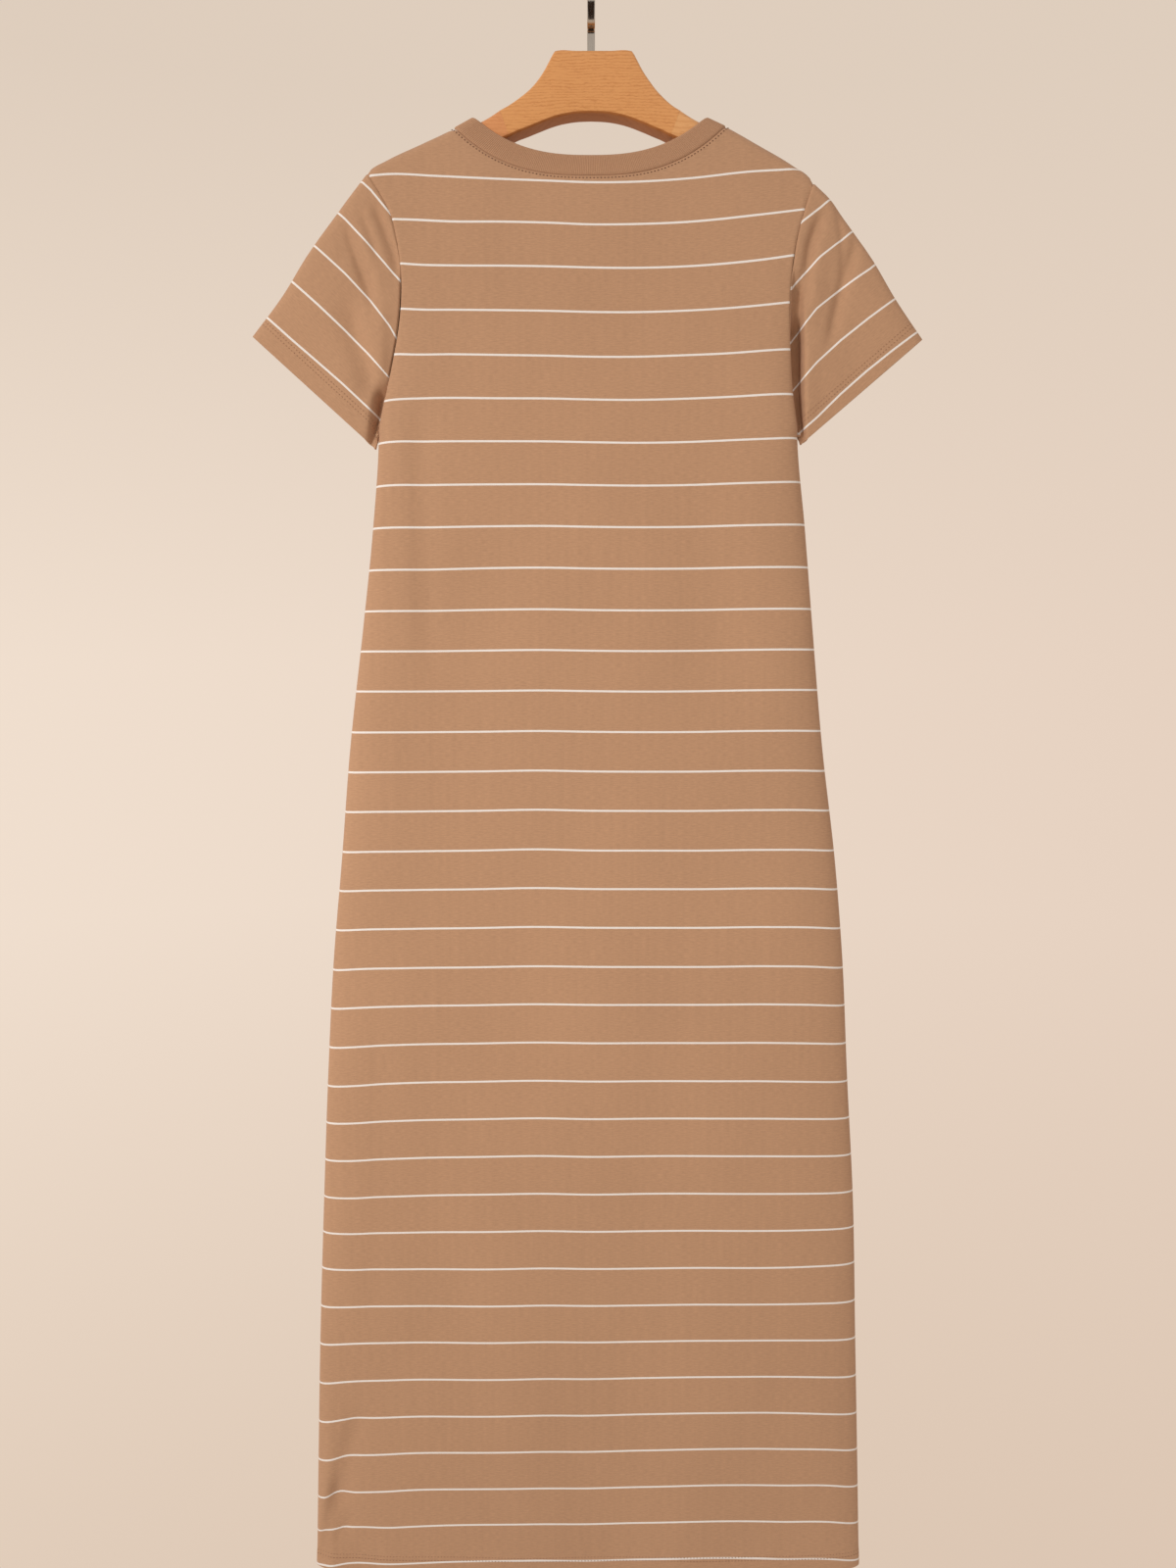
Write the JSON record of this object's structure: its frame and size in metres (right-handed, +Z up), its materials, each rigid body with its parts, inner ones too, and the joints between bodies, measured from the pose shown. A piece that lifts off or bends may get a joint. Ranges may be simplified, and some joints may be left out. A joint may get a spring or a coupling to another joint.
{
  "type": "t-shirt dress on a wooden hanger",
  "caption": "Long short-sleeved knitted dress with a ribbed crew neck, hanging flat over a wooden hanger with a metal hook.",
  "frame": {"origin": "the point inside the top of the hanger's hook that bears on a rail", "axes": "+Z up along the hanging dress, +X across the shoulders, the garment's back towards -Y and its front towards +Y"},
  "size_m": [0.6143, 0.0454, 1.5111],
  "materials": {
    "jersey": "soft heathered cotton jersey, caramel brown with thin white stripes",
    "rib": "fine ribbed knit, caramel brown",
    "wood": "lacquered beech, satin",
    "chrome": "polished plated steel"
  },
  "bodies": {
    "root": {"back_yoke_left": "jersey", "back_yoke_right": "jersey", "back_panel": "jersey", "back_side_left_upper": "jersey", "back_side_right_upper": "jersey", "back_side_left_middle": "jersey", "back_side_right_middle": "jersey", "back_side_left_lower": "jersey", "back_side_right_lower": "jersey", "front_yoke_left": "jersey", "front_yoke_right": "jersey", "front_panel": "jersey", "front_side_left_upper": "jersey", "front_side_right_upper": "jersey", "front_side_left_middle": "jersey", "front_side_right_middle": "jersey", "front_side_left_lower": "jersey", "front_side_right_lower": "jersey", "sleeve_left": "jersey", "sleeve_right": "jersey", "neck_band": "rib", "hanger_centre": "wood", "hanger_arm_left": "wood", "hanger_arm_right": "wood", "hanger_hook": "chrome"}
  },
  "joints": []
}
